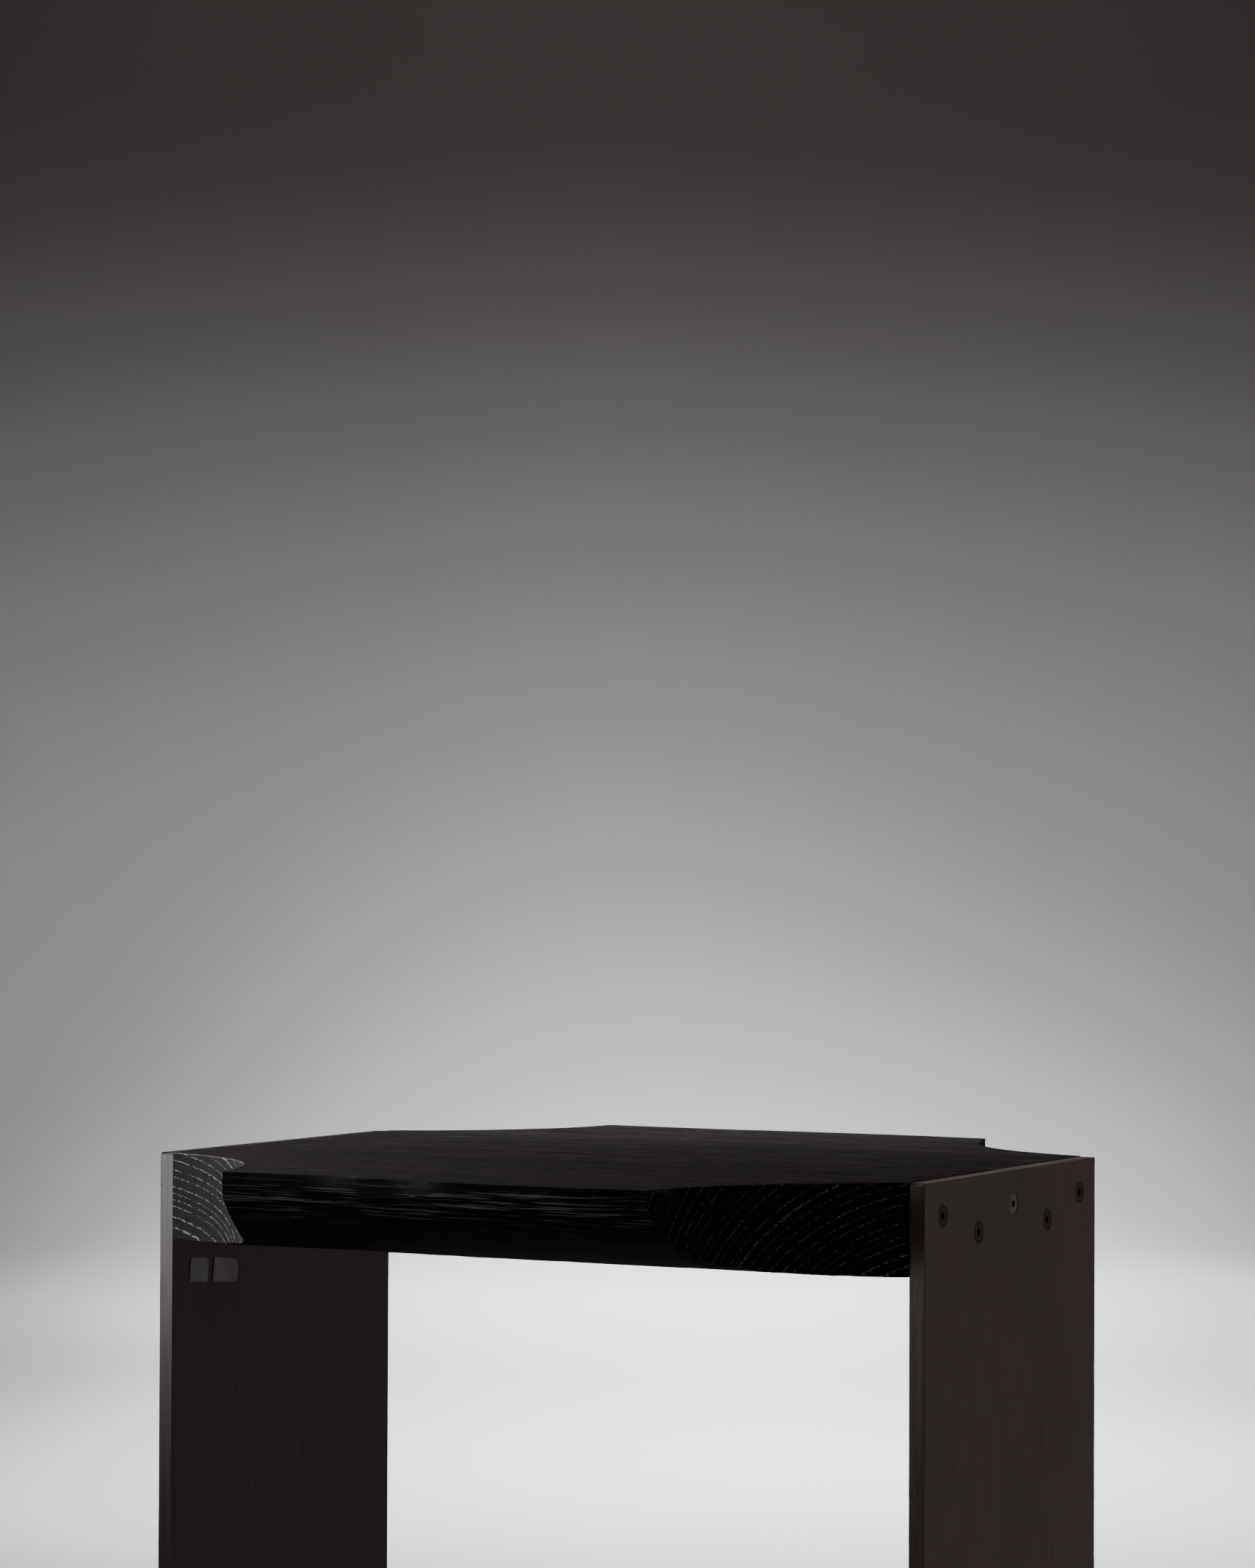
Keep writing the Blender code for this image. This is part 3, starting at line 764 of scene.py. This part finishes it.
def cylinder(radius, start, end, axis, segments=48):
    """A plain cutter from one height to another along X, as an object."""
    bm = bmesh.new()
    bmesh.ops.create_cone(
        bm, cap_ends=True, segments=segments, radius1=radius, radius2=radius, depth=abs(end - start))
    turn = Matrix.Rotation(math.pi / 2, 4, "Y")
    move = Matrix.Translation(((start + end) / 2, axis.y, axis.z))
    bmesh.ops.transform(bm, matrix=move @ turn, verts=bm.verts)
    mesh = bpy.data.meshes.new("cutter")
    bm.to_mesh(mesh)
    bm.free()
    return link("cutter", mesh)


def node_axis(node):
    """The middle of a node's box."""
    low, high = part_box(node)
    return (low + high) / 2


def cut_pilot_holes(plank, side):
    """Blind holes in the end grain, a little wider than the inserts."""
    for side_name, x_side in SIDES:
        for number in range(1, SCREWS_PER_PLATE + 1):
            low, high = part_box(f"{side_name}_insert_{number}")
            axis = (low + high) / 2
            if side * (axis.y - FRONT_HIGH.y) < 0:
                continue
            radius = (high.y - low.y) / 2 + TOUCH_GAP
            inner = x_side * (HALF_LENGTH - PILOT_DEPTH)
            cut(plank, cylinder(radius, inner, x_side * (HALF_LENGTH + CUTTER_OVERRUN), axis))


def cut_mortises(plank):
    """Slots in the joint's face around the loose tenons."""
    number = 1
    while f"joint_tenon_{number}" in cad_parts:
        low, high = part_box(f"joint_tenon_{number}")
        centre = (low + high) / 2
        half_width = (high.x - low.x) / 2 + TOUCH_GAP
        radius = (high.z - low.z) / 2 + TOUCH_GAP
        half_length = (high.y - low.y) / 2 + MORTISE_CLEARANCE
        outline = []
        for end in (1, -1):
            for step in range(HALF_TURN_STEPS + 1):
                angle = math.pi * (step / HALF_TURN_STEPS - end / 2)
                outline.append((end * (half_width - radius) + radius * math.cos(angle),
                                radius * math.sin(angle)))
        points = [centre + Vector((x, y, z)) for y in (-half_length, half_length) for x, z in outline]
        cut(plank, link("cutter", prism_mesh("cutter", points)))
        number += 1


def build_planks():
    """Both planks, with their natural edges, scoops, holes and mortises."""
    for node, (side, *log) in PLANKS.items():
        plank = Plank(node, side)
        obj = plank.build()
        cut_pilot_holes(obj, side)
        cut_mortises(obj)
        mark_wear_and_highlight(obj, lambda vertex, plank=plank: scoop_edge_wear_and_highlight(plank, vertex.co))
        shade(obj)
        material = oak_material(f"blackened_oak_{node}", *log, FRONT_HIGH.y)
        finish_piece(obj, material, "blackened_oak", node)


def scoop_edge_wear_and_highlight(plank, point):
    """1 on the show face's sawn edges, painted pale as rubbed edges and as a painted highlight, and 0
    elsewhere.
    """
    depth = SHOW_Z - point.z
    outward = plank.side * point.y - HALF_PLATE
    on_crease = CREASE_RADIUS / 6 < depth < CREASE_RADIUS * 0.9
    on_scoop = 0 < outward < plank.reach(point.x) - SHOW_EDGE_INSET * 1.5
    return 1.0 if on_crease and on_scoop else 0.0


# The leg plates

def build_leg_plates():
    """Plates with rounded corners, broken edges and countersunk holes."""
    material = {
        # The left plate's steel is painted darker than the right's: painted shade for the slab's shade
        # on its inner face
        "left": brushed_steel("brushed_steel_left_shaded", 2.0, (0.16, 0.155, 0.150), (0.23, 0.222, 0.217)),
        "right": brushed_steel("brushed_steel_right", 9.0),
    }
    for side_name, x_side in SIDES:
        node = f"{side_name}_leg_plate"
        low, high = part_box(node)
        obj = link(node + "_finished", plate_mesh(node, low, high))
        bevel = obj.modifiers.new("Broken edges", "BEVEL")
        bevel.width = PLATE_EDGE_BREAK
        bevel.segments = 3
        bevel.limit_method = "ANGLE"
        bevel.angle_limit = math.radians(60)
        outer = x_side * PLATE_HIGH.x
        axes = [node_axis(f"{side_name}_screw_{n}") for n in range(1, SCREWS_PER_PLATE + 1)]
        for axis in axes:
            cut(obj, countersink_cutter(outer, x_side, axis))
        mark_wear_and_highlight(obj, lambda vertex: plate_wear_and_highlight(vertex.co, low, high, axes))
        shade(obj, 30)
        finish_piece(obj, material[side_name], "brushed_steel_plate", node)


def plate_mesh(name, low, high):
    """A plate as a rounded outline in Y and Z, thickened along X."""
    size = high - low
    centre = (low + high) / 2
    outline = rounded_rectangle(size.y, size.z, PLATE_CORNER, PLATE_CORNER, 8)
    points = [(x, centre.y + y, centre.z + z) for x in (low.x, high.x) for y, z in outline]
    return prism_mesh(name + "_finished", points)


def countersink_cutter(outer, x_side, axis):
    """The clearance hole and countersink of one screw, turned about its axis."""
    hole = SCREW_RADIUS + TOUCH_GAP
    mouth = HEAD_RADIUS + TOUCH_GAP
    profile = [
        (0.0, CUTTER_OVERRUN),
        (mouth + COUNTERSINK_BREAK, CUTTER_OVERRUN),
        (mouth + COUNTERSINK_BREAK, 0.0),
        (mouth, -COUNTERSINK_BREAK),
        (mouth, -COUNTERSINK_RIM),
        (hole, -COUNTERSINK_RIM - (mouth - hole)),
        (hole, -2 * CUTTER_OVERRUN),
        (0.0, -2 * CUTTER_OVERRUN),
    ]
    obj = link("cutter", turned_mesh("cutter", profile, segments=64))
    obj.data.transform(pointing(outer, x_side, axis))
    return obj


def pointing(x, x_side, axis):
    """A matrix that stands a piece built along +Z on its axis, pointing outward from x."""
    turn = Matrix.Rotation(x_side * math.pi / 2, 4, "Y")
    return Matrix.Translation((x, axis.y, axis.z)) @ turn


def turned_mesh(name, profile, segments):
    """A mesh round Z, from pairs of radius and height. A radius may be a rule for every angle."""
    points = []
    for radius, z in profile:
        for step in range(segments):
            angle = math.tau * step / segments
            r = radius(angle) if callable(radius) else radius
            points.append((r * math.cos(angle), r * math.sin(angle), z))
    return mesh_from(name, points, grid_faces(len(profile), segments))


def plate_wear_and_highlight(point, low, high, axes):
    """1 on the broken edges of the plate and of its holes, painted pale partly as rubbed edges and
    partly as a painted highlight, and 0 where its flat faces start.
    """
    from_face = min(point.x - low.x, high.x - point.x)
    for axis in axes:
        from_axis = math.hypot(point.y - axis.y, point.z - axis.z)
        if from_axis < HEAD_RADIUS + HOLE_RIM:
            return 1.0 if BRIGHT_EDGE_FROM < from_face < BRIGHT_EDGE_TO else 0.0
    from_edge = min(point.y - low.y, high.y - point.y, high.z - point.z)
    return 1.0 - smoothstep(BRIGHT_EDGE_FROM, BRIGHT_EDGE_TO, max(from_face, from_edge))


# Fasteners

def hexagon_radius(angle):
    """How far a hexagonal socket's wall lies from its axis, at one angle."""
    within = (angle + math.pi / 6) % (math.pi / 3) - math.pi / 6
    return SOCKET_ACROSS_FLATS / 2 / math.cos(within)


def screw_mesh(length):
    """A countersunk socket screw with its thread, head up, its head's face at Z = 0."""
    neck = -HEAD_RIM - (HEAD_RADIUS - SCREW_RADIUS)
    thread_top = neck - SHANK_LENGTH
    tip = -length
    profile = [
        (0.0, -SOCKET_DEPTH - SOCKET_CONE),
        (lambda a: hexagon_radius(a) * 0.96, -SOCKET_DEPTH),
        (hexagon_radius, -SOCKET_DEPTH + 0.0001),
        (hexagon_radius, -SOCKET_MOUTH),
        (lambda a: max(hexagon_radius(a), SOCKET_ACROSS_FLATS / 2 * 1.12), 0.0),
        (HEAD_RADIUS * 0.75, 0.0),
        (HEAD_RADIUS - HEAD_RIM, 0.0),
        (HEAD_RADIUS - HEAD_RIM / 3, -HEAD_RIM / 3),
        (HEAD_RADIUS, -HEAD_RIM * 5 / 6),
        (HEAD_RADIUS, -HEAD_RIM),
        (SCREW_RADIUS + NECK_ROUND, neck + NECK_ROUND),
        (SCREW_RADIUS, neck - NECK_ROUND),
        (SCREW_RADIUS, thread_top),
    ]
    rows = int((thread_top - tip) / (THREAD_PITCH / ROWS_PER_TURN))
    for row in range(1, rows + 1):
        z = thread_top + (tip - thread_top) * row / rows
        run_out = smoothstep(0.0, THREAD_PITCH * 2, thread_top - z)
        lead_in = min(1.0, 0.72 + 0.28 * (z - tip) / THREAD_PITCH)
        profile.append((
            lambda a, z=z, run_out=run_out, lead_in=lead_in: thread_radius(a, z, run_out) * lead_in, z))
    profile.append((0.0, tip))
    return turned_mesh("threaded_screw", profile, segments=48)


def thread_radius(angle, z, depth_share):
    """The screw's radius on a helical V thread."""
    turn = (z / THREAD_PITCH + angle / math.tau) % 1.0
    groove = 1 - abs(2 * turn - 1)
    return SCREW_RADIUS - THREAD_DEPTH * depth_share * smoothstep(0.10, 0.90, groove)


def insert_mesh(bore, radius, length):
    """A threaded insert: a tube with a coarse outer thread, its mouth at Z = 0."""
    profile = [
        (bore, -length),
        (bore, -INSERT_MOUTH),
        (bore + INSERT_MOUTH, 0.0),
        (radius - INSERT_STEP, 0.0),
        (radius - INSERT_STEP, -INSERT_LEAD),
    ]
    for row in range(1, INSERT_ROWS + 1):
        z = -INSERT_LEAD - (length - 2 * INSERT_LEAD) * row / INSERT_ROWS

        def outer(a, z=z):
            groove = abs(2 * ((z / INSERT_PITCH + a / math.tau) % 1.0) - 1)
            return radius - INSERT_GROOVE * smoothstep(0.25, 0.75, groove)

        profile.append((outer, z))
    profile.append((radius - INSERT_TAPER, -length))
    profile.append((bore, -length))
    return turned_mesh("threaded_insert", profile, segments=36)


def build_fasteners():
    """Ten screws and ten inserts, each turned by its own amount."""
    dark = turned_steel("screw_steel_dark", (0.045, 0.055, 0.050), (0.11, 0.125, 0.118), 0.22, 3.0)
    plain = turned_steel("screw_steel_plain", (0.34, 0.32, 0.31), (0.56, 0.54, 0.52), 0.28, 5.0)
    zinc = turned_steel("zinc_plated", (0.48, 0.47, 0.43), (0.66, 0.65, 0.60), 0.28, 8.0)
    low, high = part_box("right_screw_1")
    screw = screw_mesh(high.x - low.x)
    low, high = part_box("right_insert_1")
    insert = insert_mesh(SCREW_RADIUS + TOUCH_GAP, (high.y - low.y) / 2, high.x - low.x)
    for side_name, x_side in SIDES:
        for number in range(1, SCREWS_PER_PLATE + 1):
            turn = Matrix.Rotation(math.radians(37 * number + 11 * x_side), 4, "Z")
            node = f"{side_name}_screw_{number}"
            is_plain = node == "right_screw_3"
            place_turned(node, screw, x_side, turn, plain if is_plain else dark,
                         "plain_screw_steel" if is_plain else "dark_screw_steel", screw_rim_highlight)
            node = f"{side_name}_insert_{number}"
            place_turned(node, insert, x_side, turn, zinc, "zinc_plated_steel")


def screw_rim_highlight(vertex):
    """A painted highlight on the head's outer corner, before the screw is placed."""
    radius = math.hypot(vertex.co.x, vertex.co.y)
    on_rim = vertex.co.z > -HEAD_RIM * 0.8 and radius > HEAD_RADIUS - HEAD_RIM * 0.7
    return 0.8 if on_rim else 0.0


def place_turned(node, mesh, x_side, turn, material, slot, highlight_rule=None):
    """Stand a turned piece where its CAD node is, its outer end where the node's is."""
    low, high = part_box(node)
    outer = high.x if x_side > 0 else low.x
    obj = link(node + "_finished", mesh.copy())
    if highlight_rule:
        mark_wear_and_highlight(obj, highlight_rule)
    obj.data.transform(pointing(outer, x_side, (low + high) / 2) @ turn)
    shade(obj, 32)
    finish_piece(obj, material, slot, node)


def finish_tenons():
    """The loose tenons keep their CAD solids."""
    beech = beech_material()
    for node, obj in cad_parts.items():
        if node.startswith("joint_tenon"):
            for slot in obj.material_slots:
                slot.material = beech


# Labels

def build_labels():
    """Two blank paper labels, their rear corners lifting a little."""
    paper = paper_material()
    for node, (width, height, tilt, rear_corner, lift) in LABELS.items():
        centre = node_axis(node)
        outline = rounded_rectangle(width, height, rear_corner, LABEL_FRONT_CORNER, 6)
        turn = Matrix.Rotation(math.radians(tilt), 2)
        points = []
        for layer in (0, 1):
            for ring in range(LABEL_RINGS + 1):
                share = ring / LABEL_RINGS
                for y, z in outline:
                    flat = turn @ Vector((y * share, z * share))
                    rear = smoothstep(0.1, 1.0, y * share / (width / 2))
                    raised = lift * rear * (0.4 + 0.6 * smoothstep(-0.3, 1.0, -z * share / height * 2))
                    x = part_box(node)[0].x + raised + layer * LABEL_THICKNESS
                    points.append((x, centre.y + flat.x, centre.z + flat.y))
        count = len(outline)
        half = (LABEL_RINGS + 1) * count
        faces = grid_faces(LABEL_RINGS + 1, count)
        faces += [tuple(i + half for i in face) for face in faces]
        rim = LABEL_RINGS * count
        for j in range(count):
            k = (j + 1) % count
            faces.append((rim + j, rim + k, half + rim + k, half + rim + j))
        obj = link(node + "_finished", mesh_from(node + "_finished", points, faces))
        shade(obj, 40)
        finish_piece(obj, paper, "label_paper", node)


# Stage, lights and camera

def build_stage():
    """A round studio: a pale floor that sweeps up into a wall, which is painted darker with height as
    painted shade.
    """
    wall_radius, cove, wall_height = 5.6, 1.3, 3.6
    floor_gap = 0.0002
    cove_steps = 16
    profile = [(0.0, -floor_gap)]
    for step in range(cove_steps + 1):
        angle = math.pi / 2 * step / cove_steps
        profile.append((wall_radius - cove + cove * math.sin(angle),
                        cove - cove * math.cos(angle) - floor_gap))
    profile.append((wall_radius, wall_height - floor_gap))
    studio = link("studio", turned_mesh("studio", profile, segments=96))
    studio.data.shade_smooth()
    g = Graph("pale_studio")
    mottle = g.noise(g.stretched(1.3, 1.3, 1.3, 2.0), detail=3.0)
    pale = g.blend(mottle, (0.62, 0.62, 0.63), (0.66, 0.66, 0.67))
    # Painted shade: the wall is painted darker towards the top
    height = g.ramp(g.z, -0.4, 2.3)
    g.surface(Base_Color=g.blend(height, pale, (0.055, 0.048, 0.046)),
              Roughness=g.math("MULTIPLY_ADD", mottle, 0.1, 0.8))
    g.shader.inputs["Specular IOR Level"].default_value = 0.1
    studio.data.materials.append(g.material)
    studio.visible_glossy = False


def area_light(name, place, target, size, energy, colour=(1.0, 1.0, 1.0), spread=180.0):
    """A rectangular area light aimed at a point."""
    data = bpy.data.lights.new(name, "AREA")
    data.shape = "RECTANGLE"
    data.size, data.size_y = size
    data.energy = energy
    data.color = colour
    data.spread = math.radians(spread)
    obj = bpy.data.objects.new(name, data)
    bpy.context.scene.collection.objects.link(obj)
    obj.location = place
    obj.rotation_euler = (Vector(target) - Vector(place)).to_track_quat("-Z", "Y").to_euler()


def ceiling_light(name, ahead, aside, size, energy, colour, spread):
    """A light that points straight down, placed by the way the camera looks."""
    place = ahead * VIEW_AXIS + aside * VIEW_RIGHT
    area_light(name, (*place, 4.4), (*place, 0.0), (size, size), energy, colour, spread)


def build_lights():
    """A soft key and a strip from the left, with pools of light on the floor and the walls."""
    area_light("key", (-1.30, -0.20, 0.80), (-0.1, -0.20, 0.40), (0.4, 0.4), 2.45,
               (1.0, 0.985, 0.985), 75.0)
    area_light("strip", (-0.83, -1.02, 0.48), (-0.1, -0.162, 0.28), (0.20, 0.50), 1.7)
    for ahead, energy in ((1.35, 30.0), (2.4, 17.0), (3.4, 27.0), (4.4, 13.0)):
        ceiling_light(f"pool_{ahead}", ahead, 0.15, 1.5, energy, (0.98, 0.99, 1.0), 22.0)
    for name, ahead, aside, energy in (
        ("left_floor", 0.4, -2.7, 14.0),
        ("right_floor", 0.4, 2.7, 14.0),
        ("front_floor", -2.2, 0.0, 4.0),
    ):
        ceiling_light(name, ahead, aside, 0.9, energy, (1.0, 1.0, 1.0), 50.0)
    for number, energy in enumerate((30.0, 18.0, 18.0, 18.0)):
        away = Matrix.Rotation(number * math.pi / 2, 2) @ VIEW_AXIS
        area_light(f"wash_{number}", (*(2.67 * away), 4.2), (*(5.8 * away), 0.2), (1.5, 1.5), energy,
                   (1.0, 0.985, 0.97), 90.0)
    area_light("left_fill", (-2.4, 0.8, 1.3), (0.0, 0.0, 0.3), (1.0, 1.0), 4.0)
    build_world()


def build_world():
    """What the object's gloss reflects: a dim warm room, with a glow from the lit wall behind."""
    world = bpy.data.worlds.new("dim_room")
    world.use_nodes = True
    tree = world.node_tree
    background = tree.nodes["Background"]
    background.inputs["Color"].default_value = (1.0, 0.79, 0.77, 1.0)
    coordinates = tree.nodes.new("ShaderNodeTexCoord")
    towards = tree.nodes.new("ShaderNodeVectorMath")
    towards.operation = "DOT_PRODUCT"
    towards.inputs[1].default_value = Vector((-0.30, 0.92, -0.20)).normalized()
    glow = tree.nodes.new("ShaderNodeMapRange")
    glow.interpolation_type = "SMOOTHSTEP"
    for key, value in (("From Min", 0.0), ("From Max", 1.0), ("To Min", 0.032), ("To Max", 0.150)):
        glow.inputs[key].default_value = value
    tree.links.new(coordinates.outputs["Generated"], towards.inputs[0])
    tree.links.new(towards.outputs["Value"], glow.inputs["Value"])
    tree.links.new(glow.outputs[0], background.inputs["Strength"])
    bpy.context.scene.world = world


def build_camera():
    """The camera: its place, then its aim as a compass angle, a tilt and a roll."""
    data = bpy.data.cameras.new("camera")
    data.lens = 98.52
    data.sensor_width = 36.0
    camera = bpy.data.objects.new("camera", data)
    bpy.context.scene.collection.objects.link(camera)
    camera.location = (1.5434, -2.9343, 0.6708)
    azimuth, tilt, roll = (math.radians(a) for a in (CAMERA_AZIMUTH, 1.117, 0.2235))
    aim = Euler((math.pi / 2 + tilt, 0.0, azimuth)).to_matrix()
    camera.rotation_euler = (aim @ Matrix.Rotation(roll, 3, "Z")).to_euler()
    bpy.context.scene.camera = camera


build_planks()
build_leg_plates()
build_fasteners()
finish_tenons()
build_labels()
build_stage()
build_lights()
build_camera()
